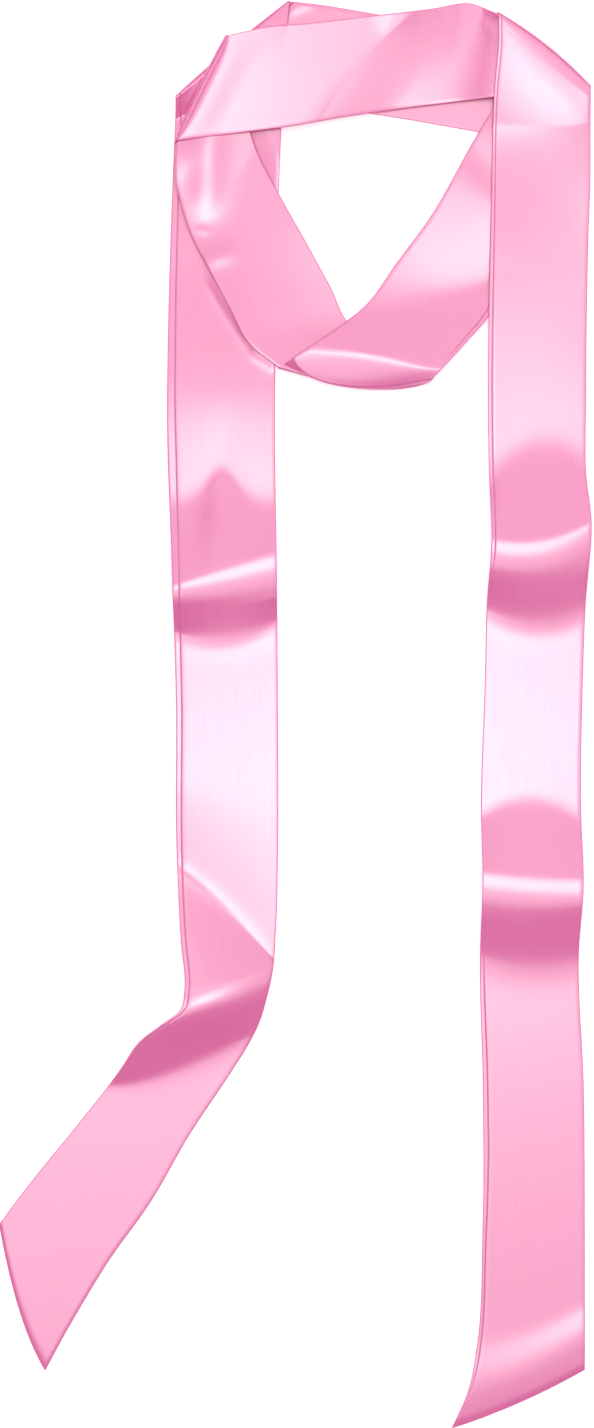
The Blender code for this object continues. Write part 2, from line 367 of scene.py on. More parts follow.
def rounded_line(middles: np.ndarray, rises: np.ndarray, softs: np.ndarray,
                 places: np.ndarray) -> np.ndarray:
    """Read a line of straight slopes whose corners are rounded, each by its own softness.

    Args:
        middles: Where the corners lie.
        rises: Their heights.
        softs: Their softness.
        places: Where to read the line.

    Returns:
        The heights there.
    """
    slopes = np.diff(rises) / np.diff(middles)
    heights = rises[0] + slopes[0] * (places - middles[0])
    for middle, turn, soft in zip(middles[1:-1], np.diff(slopes), softs[1:-1]):
        heights = heights + turn * soft * np.logaddexp(0.0, (places - middle) / soft)
    return heights


@dataclass(frozen=True)
class Weave:
    """The grid that a pressed tube is made on, and how its edges and ends are shaped."""

    row_step: float = 1.7
    fine_steps: tuple[float, ...] = (0.35, 0.8, 1.4, 2.2, 3.2)
    turn_steps: int = 16
    main_columns: int = 26
    strip_columns: int = 3
    edge_radius: float = 0.5
    edge_steps: int = 5
    end_radius: float = 5.0
    end_steps: int = 9
    groove: tuple[float, ...] = (-0.5, -0.3, -0.15, 0.0, 0.15, 0.3, 0.5)
    groove_width: float = 0.20
    table_softness: float = 0.05
    dart_width: float = 0.19

    def rim(self) -> np.ndarray:
        """The distances from the edge of the columns that round it."""
        angles = np.linspace(0.0, math.pi / 2, self.edge_steps)
        return self.edge_radius * (1 - np.cos(angles))

    def thinning(self, distance: np.ndarray, radius: float) -> np.ndarray:
        """The share of its full thickness that the tube has near an edge.

        Args:
            distance: How far in from the edge.
            radius: How far in the tube reaches its full thickness.

        Returns:
            A share from 0 to 1.
        """
        inside = np.clip(1 - distance / radius, 0.0, 1.0)
        return np.sqrt(1 - inside**2)


WEAVE = Weave()


def placed(name: str, data: bpy.types.ID) -> bpy.types.Object:
    """Put an object that holds some data in the scene.

    Args:
        name: Its name.
        data: Its mesh, light or camera.

    Returns:
        The object.
    """
    thing = bpy.data.objects.new(name, data)
    bpy.context.scene.collection.objects.link(thing)
    return thing


@dataclass
class PressedTube:
    """One stretch of the scarf: a flat tube of satin from a crease to the next, or to its end."""

    name: str
    start: Turn | None
    end: Turn | None
    sections: tuple[Section, ...]
    folds: tuple[Fold, ...]
    seam_side: Side
    seam: tuple[SeamMark, ...]
    ripples: tuple[Ripple, ...]
    flat_length: float
    rests_on: tuple[str, ...]
    flat_width: float = 50.0
    held: str = "laid"

    def end_line(self, turn: Turn, beside: np.ndarray) -> np.ndarray:
        """Where the flat part stops at a crease.

        Args:
            turn: The crease and whether this stretch is on top of it.
            beside: The nearest section's points.

        Returns:
            The left and the right point.
        """
        distances = self.end_distances(turn, np.full(2, turn.crease.bulge))
        return turn.crease.points_inside(beside, np.array([0.0, 1.0]), distances)

    def end_distances(self, turn: Turn, rolls: np.ndarray) -> np.ndarray:
        """How far in from a crease the flat part stops.

        Args:
            turn: The crease and whether this stretch is on top of it.
            rolls: How far the crease's roll reaches at each point.

        Returns:
            The distance at each point.
        """
        if turn.on_top:
            return rolls
        return rolls * TUCK_REACH if turn.crease.tuck else rolls + RUN_OUT + JOINT_GAP

    def section_lines(self) -> np.ndarray:
        """The left and right points of each section, creased ends included."""
        lines = [section.points() for section in self.sections]
        first = [self.end_line(self.start, lines[0])] if self.start else []
        last = [self.end_line(self.end, lines[-1])] if self.end else []
        return np.array(first + lines + last)

    def fold_column(self, name: str) -> np.ndarray:
        """One named column of the table of folds."""
        return np.array([getattr(fold, name) for fold in self.folds], dtype=float)

    def seam_column(self, name: str, places: np.ndarray) -> np.ndarray:
        """One named column of the table of seam marks, read at some stations, one a row."""
        stations = [mark.station for mark in self.seam]
        values = [getattr(mark, name) for mark in self.seam]
        return np.interp(places, stations, values)[:, None]

    def row_places(self) -> np.ndarray:
        """Where the rows of the grid lie: close together at each fold, further apart between."""
        middles = [fold.middle for fold in self.folds]
        wanted = set(middles)
        for before, fold, after in zip(self.folds[:-2], self.folds[1:-1], self.folds[2:]):
            lowest = (before.middle + fold.middle) / 2
            highest = (fold.middle + after.middle) / 2
            for step in WEAVE.fine_steps:
                offsets = (fold.middle - step * fold.soft, fold.middle + step * fold.soft)
                wanted.update(place for place in offsets if lowest < place < highest)
        if self.end is None:
            angles = np.linspace(0.0, math.pi / 2, WEAVE.end_steps)
            wanted.update(middles[-1] - WEAVE.end_radius * (1 - np.cos(angles)))
        rows = sorted(wanted)
        filled = [np.array(rows[:1])]
        for before, after in zip(rows[:-1], rows[1:]):
            cells = max(1, math.ceil((after - before) / WEAVE.row_step))
            filled.append(np.linspace(before, after, cells + 1)[1:])
        return np.concatenate(filled)

    def column_distances(self, places: np.ndarray, widths: np.ndarray) -> np.ndarray:
        """How far each column lies from the edge that holds the seam, for each row.

        Args:
            places: The rows' stations.
            widths: The rows' widths.

        Returns:
            Distances, a row for each place.
        """
        rim = np.broadcast_to(WEAVE.rim(), (len(places), WEAVE.edge_steps))
        groove = self.seam_column("inset", places) + np.array(WEAVE.groove)
        strip_shares = np.linspace(0.0, 1.0, WEAVE.strip_columns + 2)[1:-1]
        strip = rim[:, -1:] + (groove[:, :1] - rim[:, -1:]) * strip_shares
        far_rim = widths[:, None] - rim[:, ::-1]
        main_shares = np.linspace(0.0, 1.0, WEAVE.main_columns + 2)[1:-1]
        main = groove[:, -1:] + (far_rim[:, :1] - groove[:, -1:]) * main_shares
        return np.hstack([rim, strip, groove, main, far_rim])

    def flat_grid(self) -> tuple[np.ndarray, np.ndarray, np.ndarray, np.ndarray]:
        """The middle surface between the creases.

        Returns:
            Its points, each row's station, the columns' shares across, and the rows' widths.
        """
        lines = self.section_lines()
        knots = distance_run(lines.mean(axis=1))
        places = self.row_places()
        fold_middles = self.fold_column("middle")
        stretch = knots[-1] / fold_middles[-1]
        stations = [np.interp(places, fold_middles, self.fold_column(side))[:, None] * stretch
                    for side in ("left", "middle", "right")]
        softs = self.fold_column("soft")
        rises = [rounded_line(fold_middles, self.fold_column(side), softs, places)
                 for side in ("rise_left", "rise_middle", "rise_right")]
        middle_ends = smooth_line(knots, lines.reshape(-1, 4), stations[1][:, 0])
        widths = np.linalg.norm(middle_ends[:, 2:] - middle_ends[:, :2], axis=1)
        shares = self.column_distances(places, widths) / widths[:, None]
        if self.seam_side is Side.RIGHT:
            shares = 1 - shares[:, ::-1]
        darts = np.interp(places, fold_middles, self.fold_column("dart"))[:, None]
        bell = np.exp(-(((shares - 0.5) / WEAVE.dart_width) ** 2))
        along = np.clip(across(*stations, shares) - darts * bell, 0.0, knots[-1])
        edges = smooth_line(knots, lines.reshape(-1, 4), along)
        share = shares[..., None]
        grid = np.empty(shares.shape + (3,))
        grid[..., :2] = edges[..., :2] * (1 - share) + edges[..., 2:] * share
        heights = across(*[rise[:, None] for rise in rises], shares)
        softness = WEAVE.table_softness
        grid[..., 2] = ON_TABLE + softness * np.logaddexp(0.0, (heights - ON_TABLE) / softness)
        return grid, places, shares, widths

    def stretch_below(self, crease: Crease) -> tuple["PressedTube", int]:
        """The stretch that a crease turns down to, and the index of its row at the crease."""
        lower = Turn(crease, on_top=False)
        below = next(tube for tube in STRETCHES if lower in (tube.start, tube.end))
        return below, 0 if below.start == lower else -1

    def turn_rows(self, edge: np.ndarray, crease: Crease, beside: np.ndarray,
                  shares: np.ndarray) -> list[np.ndarray]:
        """The rows of a crease, from just past the flat edge round and down to the stretch below.

        Args:
            edge: The flat part's last row.
            crease: The crease.
            beside: The nearest section's points.
            shares: The columns' shares across.

        Returns:
            The rows in order.
        """
        below, side = self.stretch_below(crease)
        lower_beside = below.sections[side].points()
        same_order = np.allclose(crease.ends(beside), crease.ends(lower_beside))
        lower_shares = (shares if same_order else 1 - shares)[:, None]
        fold = below.folds[side]
        sunk = across(fold.rise_left, fold.rise_middle, fold.rise_right, lower_shares) - crease.tuck

        def lower_row(distances: np.ndarray) -> np.ndarray:
            """The row at some distances in from the crease, on the stretch below."""
            points = crease.points_inside(lower_beside, lower_shares[:, 0], distances)
            return np.hstack([points, sunk])

        rolls = crease.rolls(shares)
        inside = rolls - crease.bows(shares)
        under = lower_row(inside)
        bulge = rolls[:, None] * crease.outward(beside)
        rows = []
        for angle in np.linspace(0.0, math.pi, WEAVE.turn_steps + 1)[1:]:
            turned = (1 - math.cos(angle)) / 2
            row = edge * (1 - turned) + under * turned
            row[:, :2] += bulge * max(math.sin(angle), 0.0) ** crease.fullness
            rows.append(row)
        return rows + [lower_row(inside + RUN_OUT)]

    def settle(self, grid: np.ndarray, turn: Turn, beside: np.ndarray, shares: np.ndarray) -> None:
        """Draw the rows nearest to a crease out to its bowed roll, narrow at the corners.

        Args:
            grid: The flat part's rows, nearest first, changed in place.
            turn: The crease and whether this stretch is on top of it.
            beside: The nearest section's points.
            shares: The columns' shares across.
        """
        crease = turn.crease
        straight = self.end_distances(turn, np.full(len(shares), crease.bulge))
        curved = self.end_distances(turn, crease.rolls(shares)) - crease.bows(shares)
        wanted = crease.points_inside(beside, shares, curved)
        missing = wanted - crease.points_inside(beside, shares, straight)
        near = np.clip(1 - distance_run(grid[..., :2]) / SETTLE, 0.0, 1.0)
        grid[..., :2] += (near * near * (3 - 2 * near))[..., None] * missing

    def whole_grid(self) -> tuple[np.ndarray, np.ndarray, np.ndarray, np.ndarray]:
        """The middle surface with the creases that belong to this stretch.

        Returns:
            Its points, the rows' stations, the columns' shares, and the rows' widths.
        """
        grid, places, shares, widths = self.flat_grid()
        before = []
        after = []
        if self.start:
            beside = self.sections[0].points()
            self.settle(grid, self.start, beside, shares[0])
            if self.start.on_top:
                before = self.turn_rows(grid[0], self.start.crease, beside, shares[0])[::-1]
        if self.end:
            beside = self.sections[-1].points()
            self.settle(grid[::-1], self.end, beside, shares[-1])
            if self.end.on_top:
                after = self.turn_rows(grid[-1], self.end.crease, beside, shares[-1])
        rows = list(grid)
        pad = (len(before), len(after))
        return (np.array(before + rows + after), np.pad(places, pad, mode="edge"),
                np.pad(shares, (pad, (0, 0)), mode="edge"), np.pad(widths, pad, mode="edge"))

    def normals(self, grid: np.ndarray) -> np.ndarray:
        """The direction square to the middle surface at each of its points, up where it is flat."""
        sideways = headings(grid.swapaxes(0, 1)).swapaxes(0, 1)
        normals = unit(np.cross(sideways, headings(grid)))
        return normals if normals[..., 2].sum() > 0 else -normals

    def shell(self) -> tuple[np.ndarray, np.ndarray, np.ndarray, np.ndarray]:
        """The upper and the lower surface of the tube.

        Returns:
            Upper points, lower points, the flat cloth's u and v, and the seam's darkening, partly
            its line's own colour and partly painted shade of its groove.
        """
        grid, places, shares, widths = self.whole_grid()
        normals = self.normals(grid)
        from_left = shares * widths[:, None]
        from_right = widths[:, None] - from_left
        full = WEAVE.thinning(np.minimum(from_left, from_right), WEAVE.edge_radius)
        if self.end is None:
            to_end = places[-1] - places
            full = full * WEAVE.thinning(to_end, WEAVE.end_radius)[:, None]
        from_seam_edge = from_left if self.seam_side is Side.LEFT else from_right
        from_seam = from_seam_edge - self.seam_column("inset", places)
        depth = self.seam_column("depth", places)
        groove = np.exp(-((from_seam / WEAVE.groove_width) ** 2))
        facing_up = np.clip(normals[..., 2], 0.0, 1.0)
        lift = np.zeros(shares.shape)
        for ripple in self.ripples:
            lift = lift + ripple.heights(grid[..., :2])
        lift = lift * facing_up * full
        upper = grid + normals * (full * THICKNESS / 2 + lift - depth * groove * full)[..., None]
        lower = grid - normals * (full * THICKNESS / 2)[..., None]
        run = distance_run(grid[:, shares.shape[1] // 2])
        cloth = np.stack([from_left, np.broadcast_to(run[:, None], shares.shape)], axis=-1)
        # The seam's darkening: partly its line's own colour, partly painted shade of its groove.
        return upper, lower, cloth, groove * np.minimum(depth * SEAM_SHADE_GAIN, 1.0)

    def faces(self, cloth: np.ndarray) -> tuple[list, list]:
        """The faces round the tube and over its creased ends.

        Args:
            cloth: The flat cloth's u and v at each point of the upper surface.

        Returns:
            The faces, as numbers of ring points, and the cloth's u and v at each of their corners.
        """
        rows, columns = cloth.shape[:2]
        around = 2 * columns - 2
        across_it = cloth[..., 0]
        along_it = cloth[:, 0, 1]
        whole_way = 2 * across_it[:, -1:]
        ring_u = np.concatenate([across_it, whole_way - across_it[:, -2:0:-1]], axis=1)
        faces = []
        corners = []
        for row in range(rows - 1):
            here = row * around
            there = here + around
            for column in range(around):
                following = (column + 1) % around
                faces.append((here + column, here + following, there + following, there + column))
                closing = ring_u[row, following] if following else whole_way[row, 0]
                corners.extend(((ring_u[row, column], along_it[row]),
                                (closing, along_it[row]),
                                (closing, along_it[row + 1]),
                                (ring_u[row + 1, column], along_it[row + 1])))
        for row in (0, rows - 1):
            if row and self.end is None:
                continue
            for column in range(columns - 1):
                below = around - column
                cap = [column, column + 1, below - 1, below % around]
                face = tuple(dict.fromkeys(row * around + corner for corner in cap))
                faces.append(face)
                corners.extend([(across_it[row, column], along_it[row])] * len(face))
        return faces, corners

    def build(self) -> bpy.types.Object:
        """Make the tube as a closed mesh with its cloth coordinates and its seam's darkening,
        partly painted shade of the groove.
        """
        upper, lower, cloth, mark = self.shell()
        faces, corners = self.faces(cloth)
        ring = np.concatenate([upper, lower[:, -2:0:-1]], axis=1)
        ring_seam_shade = np.concatenate([mark, np.zeros_like(mark[:, 1:-1])], axis=1)
        points = (ring.reshape(-1, 3) + TABLE_ZERO) * MM
        mesh = bpy.data.meshes.new(self.name + "_cloth")
        mesh.from_pydata(points.tolist(), [], faces)
        uv = mesh.uv_layers.new(name="cloth")
        uv.data.foreach_set("uv", (np.array(corners) * MM).astype(np.float32).ravel())
        # The seam attribute carries the darkening along the seam, partly painted shade of its
        # groove.
        seam = mesh.attributes.new("seam", "FLOAT", "POINT")
        seam.data.foreach_set("value", ring_seam_shade.astype(np.float32).ravel())
        tube = bmesh.new()
        tube.from_mesh(mesh)
        bmesh.ops.remove_doubles(tube, verts=tube.verts, dist=MERGE_REACH * MM)
        bmesh.ops.recalc_face_normals(tube, faces=tube.faces)
        tube.to_mesh(mesh)
        tube.free()
        mesh.shade_smooth()
        return placed(self.name + "_cloth", mesh)


TOP_LEFT_CREASE = Crease(-61.5, 313.5, -3.5, 362.5, bulge=1.8, bow=1.0)
TOP_RIGHT_CREASE = Crease(121.0, 341.0, 145.0, 286.0, bulge=1.8)
BOTTOM_CREASE = Crease(-9.0, 175.5, 68.0, 168.5, bulge=1.0, bow=6.4, tuck=TUCK)
LEFT_CREASE = Crease(-61.5, 290.5, -36.0, 343.3, bulge=5.5, bow=1.0, fullness=0.8, tuck=TUCK)
RIGHT_CREASE = Crease(102.3, 355.3, 149.5, 318.0, bulge=2.0, bow=2.4, fullness=0.9, tuck=TUCK)

LEFT_TAIL = PressedTube(
    name="left_tail",
    start=Turn(TOP_LEFT_CREASE, on_top=True),
    end=None,
    sections=(
        Section(-62.0, 298.0, -6.0, 327.5),
        Section(-63.0, 276.5, -8.5, 279.0),
        Section(-65.5, 195.0, -10.5, 195.0),
        Section(-66.0, 149.0, -11.0, 149.0),
        Section(-63.5, 72.5, -10.0, 72.5),
        Section(-61.5, 6.5, -9.5, 6.5),
        Section(-61.0, -75.0, -9.5, -75.0),
        Section(-59.0, -115.0, -10.5, -111.0),
        Section(-57.0, -141.5, -12.5, -134.0),
        Section(-59.0, -151.0, -15.0, -145.0),
        Section(-68.5, -158.5, -18.5, -157.0),
        Section(-79.5, -167.0, -24.0, -168.5),
        Section(-89.0, -180.5, -34.0, -184.5),
        Section(-98.5, -193.5, -54.0, -214.5),
        Section(-112.0, -210.5, -73.0, -247.5),
        Section(-132.0, -235.0, -97.5, -282.5),
        Section(-142.5, -248.5, -115.5, -312.5),
        Section(-154.0, -264.0, -130.5, -340.0),
    ),
    folds=(
        Fold(0, 0, 0, 4.4, 3.6, TOP_RISE, 1.0),
        Fold(9, 17, 55, 2.6, 2.6, OVER_ONE, 1.0),
        level(17, 33, 80, ON_TABLE, 1.1),
        level(112, 112, 112, ON_TABLE, 5.0),
        level(174, 174, 174, ON_TABLE + 1.5, 8.0),
        level(234, 233, 234, ON_TABLE + 0.5, 3.5, dart=17.0),
        level(270, 261, 253, 6.7, 1.4),
        level(275, 269, 262, 6.5, 1.6),
        level(280, 276, 270, 5.7, 2.0),
        level(284, 282, 277, 4.4, 2.5),
        level(294, 299, 289, ON_TABLE + 0.3, 3.5),
        level(373, 378, 386, ON_TABLE + 1.0, 5.0),
        Fold(415, 437, 465, 0.9, 1.1, 1.5, 3.5),
        Fold(475, 473, 468, 7.35, 6.5, 2.6, 1.8),
        Fold(483, 480, 475, 7.8, 6.9, 2.9, 1.6),
        Fold(499, 494, 485, 7.1, 6.2, 2.4, 3.0),
        level(535, 519, 503, ON_TABLE, 6.0),
        level(665, 670, 666, ON_TABLE, 4.0),
    ),
    seam_side=Side.LEFT,
    seam=(
        SeamMark(0.0, 3.0, 0.2),
        SeamMark(120.0, 3.6, 0.22),
        SeamMark(205.0, 4.4, 0.22),
        SeamMark(300.0, 3.1, 0.22),
        SeamMark(480.0, 2.4, 0.22),
        SeamMark(500.0, 2.4, 0.2),
        SeamMark(530.0, 2.0, 0.0),
        SeamMark(670.0, 2.0, 0.0),
    ),
    ripples=(
        Ripple(-11.0, 354.5, -4.0, 355.5, 3.0, 0.35, fade=3.0),
        Ripple(-42.5, 222.0, -21.0, 187.0, 3.6, 1.2, fade=9.0),
        Ripple(-21.0, 187.0, -7.0, 178.0, 4.6, 0.9, fade=4.0),
    ),
    flat_length=668.0,
    rests_on=("floor",),
)

REAR_BAND = PressedTube(
    name="rear_band",
    start=Turn(TOP_LEFT_CREASE, on_top=False),
    end=Turn(TOP_RIGHT_CREASE, on_top=False),
    sections=(
        Section(7.0, 361.5, -36.5, 312.0),
        Section(44.0, 355.5, 35.0, 305.5),
        Section(83.5, 348.5, 81.0, 298.0),
        Section(104.0, 345.0, 114.0, 292.0),
    ),
    folds=(
        level(0, 0, 0, ON_TABLE, 3.0),
        level(166, 166, 166, ON_TABLE, 3.0),
    ),
    seam_side=Side.RIGHT,
    seam=(SeamMark(0.0, 2.0, 0.0),),
    ripples=(
        Ripple(-3.5, 357.0, 8.0, 361.5, 2.6, 0.35, bow=1.0, fade=3.0),
    ),
    flat_length=165.0,
    rests_on=("floor",),
)

LOWER_RIGHT_BAND = PressedTube(
    name="lower_right_band",
    start=Turn(TOP_RIGHT_CREASE, on_top=True),
    end=Turn(BOTTOM_CREASE, on_top=True),
    sections=(
        Section(110.5, 323.5, 141.5, 279.0),
        Section(92.5, 295.0, 132.0, 262.0),
        Section(68.5, 253.0, 111.5, 226.5),
        Section(50.5, 228.5, 97.0, 200.5),
        Section(36.5, 209.0, 87.5, 189.5),
        Section(23.0, 197.5, 78.0, 179.0),
    ),
    folds=(
        level(0, 0, 0, TOP_RISE, 3.0),
        level(16, 20, 9, OVER_ONE + 0.4, 3.0),
        Fold(30, 34, 34, 4.9, 4.5, 3.8, 3.0),
        Fold(50, 52, 53, 3.7, 3.5, 3.1, 3.0),
        Fold(58, 60, 60, 4.2, 3.8, 3.2, 3.0),
        level(142, 126, 92, ON_TABLE, 7.0),
        Fold(167, 164.5, 161, BOTTOM_RISE + 1.9, BOTTOM_RISE + 1.8, BOTTOM_RISE + 0.7, 1.3),
        Fold(169.5, 167.5, 164, BOTTOM_RISE + 1.75, BOTTOM_RISE + 1.65, BOTTOM_RISE + 0.6, 1.3),
        Fold(174, 180, 176, BOTTOM_RISE + 1.45, BOTTOM_RISE - 0.5, BOTTOM_RISE - 0.1, 1.0),
    ),
    seam_side=Side.RIGHT,
    seam=(
        SeamMark(0.0, 2.4, 0.2),
        SeamMark(150.0, 2.4, 0.2),
        SeamMark(165.0, 2.0, 0.0),
    ),
    ripples=(),
    flat_length=172.0,
    rests_on=("floor",),
)

LEFT_FRONT_BAND = PressedTube(
    name="left_front_band",
    start=Turn(BOTTOM_CREASE, on_top=False),
    end=Turn(LEFT_CREASE, on_top=False),
    sections=(
        Section(-22.5, 186.0, 43.0, 187.5),
        Section(-27.0, 191.5, 28.0, 197.0),
        Section(-33.5, 204.5, 17.5, 216.5),
        Section(-42.5, 221.5, 5.5, 238.5),
        Section(-54.5, 245.0, -8.0, 262.5),
        Section(-61.0, 267.0, -20.0, 285.5),
    ),
    folds=(
        Fold(0, 0, 0, 4.3, 2.7, 2.0, 4.0),
        Fold(7, 7, 7, 4.3, 2.7, 2.0, 3.0),
        Fold(36, 36, 36, 4.6, 2.6, ON_TABLE + 0.4, 8.0),
        Fold(84, 84, 84, 3.7, 2.9, 2.6, 8.0),
        Fold(105, 116, 131, 3.2, 3.0, 2.9, 6.0),
        Fold(146, 146, 148, LEFT_UNDER, LEFT_UNDER - 0.2, LEFT_UNDER - 0.3, 3.0),
        level(154, 154, 154, LEFT_UNDER, 2.0),
        level(165, 165, 165, LEFT_UNDER, 2.0),
    ),
    seam_side=Side.RIGHT,
    seam=(SeamMark(0.0, 2.0, 0.0),),
    ripples=(
        Ripple(-43.5, 318.0, -46.0, 256.0, 9.0, 1.0, fade=16.0),
        Ripple(-51.0, 246.5, -45.0, 244.0, 1.6, 0.2, fade=4.0),
        Ripple(-46.0, 230.5, -33.0, 234.0, 5.0, 0.42, fade=8.0),
    ),
    flat_length=166.0,
    rests_on=("left_tail_cloth", "floor"),
)

FRONT_TOP_BAND = PressedTube(
    name="front_top_band",
    start=Turn(LEFT_CREASE, on_top=True),
    end=Turn(RIGHT_CREASE, on_top=False),
    sections=(
        Section(-17.5, 347.5, -42.0, 293.0),
        Section(7.0, 350.0, -3.5, 298.0),
        Section(35.0, 353.5, 24.5, 303.0),
        Section(68.0, 357.8, 58.0, 308.0),
        Section(86.0, 361.2, 92.0, 312.0),
    ),
    folds=(
        Fold(0, 0, 0, 10.4, 8.7, 7.0, 2.0),
        Fold(4, 4, 4, 10.4, 8.6, 6.9, 1.5),
        Fold(14, 14, 14, 10.0, 8.0, 6.1, 2.0),
        Fold(30, 31, 33, 9.4, 7.6, 6.0, 3.0),
        Fold(98, 74, 60, 7.2, 6.4, 5.1, 6.0),
        Fold(116, 112, 98, 4.9, 3.9, OVER_ONE + 0.2, 6.0),
        Fold(128, 124, 118, 4.2, 3.6, OVER_ONE, 4.0),
        Fold(147, 130, 125, 3.4, 3.2, 2.8, 3.0),
        Fold(152, 138, 131, 3.7, 3.9, 3.4, 2.5),
        level(163, 146, 138, RIGHT_UNDER, 2.5),
        level(168, 168, 168, RIGHT_UNDER, 4.0),
    ),
    seam_side=Side.LEFT,
    seam=(SeamMark(0.0, 2.0, 0.0),),
    ripples=(
        Ripple(44.0, 355.5, 60.0, 354.5, 7.0, 0.5, fade=5.0),
    ),
    flat_length=168.0,
    rests_on=("left_front_band_cloth", "rear_band_cloth"),
)

RIGHT_TAIL = PressedTube(
    name="right_tail",
    start=Turn(RIGHT_CREASE, on_top=True),
    end=None,
    sections=(
        Section(102.5, 341.0, 149.5, 297.0),
        Section(100.5, 317.5, 149.5, 274.0),
        Section(99.0, 261.5, 148.5, 241.0),
        Section(97.5, 159.5, 147.5, 159.5),
        Section(98.0, 123.5, 147.5, 123.5),
        Section(99.0, 88.0, 150.0, 94.5),
        Section(97.0, 57.5, 147.5, 57.5),
        Section(96.0, 16.5, 146.0, 16.5),
        Section(94.0, -44.5, 145.0, -44.5),
        Section(94.5, -88.0, 146.0, -89.5),
        Section(93.5, -121.0, 144.0, -121.0),
        Section(95.0, -192.5, 146.5, -192.5),
        Section(94.8, -264.0, 147.0, -264.0),
        Section(92.0, -322.5, 147.0, -304.5),
        Section(87.5, -345.5, 147.0, -322.0),
        Section(78.5, -366.0, 147.0, -338.5),
    ),
    folds=(
        Fold(0, 0, 0, 10.6, 9.4, 7.6, 3.0),
        Fold(5, 5, 4, 10.4, 9.2, 7.4, 1.5),
        Fold(54, 36, 11, 5.8, 5.9, 6.4, 10.0),
        Fold(112, 110, 108, 4.8, 4.2, 3.6, 10.0),
        level(218, 203, 211, 1.6, 4.5),
        level(241, 245, 239, 8.0, 1.4),
        level(249, 253, 245, 7.75, 1.6),
        level(257, 261, 253, 7.0, 2.0),
        level(265, 269, 262, 5.4, 2.5),
        level(282, 290, 283, ON_TABLE + 0.3, 4.0),
        level(388, 380, 390, ON_TABLE + 0.3, 3.5),
        level(415, 417, 417, 6.15, 1.6),
        level(423, 425, 425, 6.3, 1.6),
        level(430, 432, 431, 6.0, 2.0),
        level(438, 440, 438, 4.8, 3.0),
        level(457, 462, 459, ON_TABLE, 5.0),
        level(646, 648, 644, ON_TABLE, 3.0),
        level(663, 665, 660, ON_TABLE + 1.0, 3.5),
        level(685, 686, 682, ON_TABLE + 0.5, 3.0),
    ),
    seam_side=Side.LEFT,
    seam=(
        SeamMark(0.0, 2.2, 0.15),
        SeamMark(250.0, 2.2, 0.22),
        SeamMark(265.0, 2.0, 0.0),
        SeamMark(455.0, 2.0, 0.0),
        SeamMark(480.0, 2.2, 0.22),
        SeamMark(560.0, 2.7, 0.22),
        SeamMark(620.0, 1.6, 0.22),
        SeamMark(655.0, 2.2, 0.2),
        SeamMark(675.0, 1.5, 0.0),
    ),
    ripples=(),
    flat_length=686.0,
    rests_on=("front_top_band_cloth", "lower_right_band_cloth", "floor"),
)

STRETCHES = (LEFT_TAIL, REAR_BAND, LOWER_RIGHT_BAND, LEFT_FRONT_BAND, FRONT_TOP_BAND, RIGHT_TAIL)


class Wire:
    """One output of a shader graph: a sum, product or difference of wires adds a Math node."""

    def __init__(self, graph: "Graph", socket: bpy.types.NodeSocket) -> None:
        """Keep the graph and the socket."""
        self.graph = graph
        self.socket = socket

    def maths(self, operation: str, *values: "Wire | float") -> "Wire":
        """Add a Math node fed by some values in order."""
        return self.graph.wire("ShaderNodeMath", {"operation": operation}, dict(enumerate(values)))

    def __add__(self, other: "Wire | float") -> "Wire":
        """This plus the other."""
        return self.maths("ADD", self, other)

    def __mul__(self, other: "Wire | float") -> "Wire":
        """This times the other."""
        return self.maths("MULTIPLY", self, other)

    def __sub__(self, other: "Wire | float") -> "Wire":
        """This less the other."""
        return self.maths("SUBTRACT", self, other)


class Graph:
    """A material's nodes, added one at a time."""

    def __init__(self, name: str) -> None:
        """Make an empty node material of that name."""
        self.material = bpy.data.materials.new(name)
        self.material.use_nodes = True
        self.tree = self.material.node_tree
        self.tree.nodes.clear()

    def node(self, kind: str, settings: dict | None = None,
             inputs: dict | None = None) -> bpy.types.Node:
        """Add a node.

        Args:
            kind: The node's type.
            settings: Its properties, set first.
            inputs: Values or wires for its sockets, by name or number.

        Returns:
            The node.
        """
        node = self.tree.nodes.new(kind)
        for name, value in (settings or {}).items():
            setattr(node, name, value)
        for key, value in (inputs or {}).items():
            if isinstance(value, Wire):
                self.tree.links.new(value.socket, node.inputs[key])
            else:
                node.inputs[key].default_value = value
        return node

    def wire(self, kind: str, settings: dict | None = None, inputs: dict | None = None,
             output: str | int = 0) -> Wire:
        """Add a node and return one of its outputs.

        Args:
            kind: The node's type.
            settings: Its properties, set first.
            inputs: Values or wires for its sockets, by name or number.
            output: The output's name or number.

        Returns:
            The output as a wire.
        """
        return Wire(self, self.node(kind, settings, inputs).outputs[output])

    def mix(self, share: Wire | float, first: "Wire | tuple", second: "Wire | tuple") -> Wire:
        """Blend two colours by a share of the second."""
        inputs = {0: share, 6: first, 7: second}
        return self.wire("ShaderNodeMix", {"data_type": "RGBA"}, inputs, output=2)

    def finished(self, inputs: dict) -> bpy.types.Material:
        """Join a surface shader to the material's output.

        Args:
            inputs: Values or wires for the shader's sockets, by name.

        Returns:
            The material.
        """
        shader = self.wire("ShaderNodeBsdfPrincipled", inputs=inputs)
        self.node("ShaderNodeOutputMaterial", inputs={"Surface": shader})
        return self.material


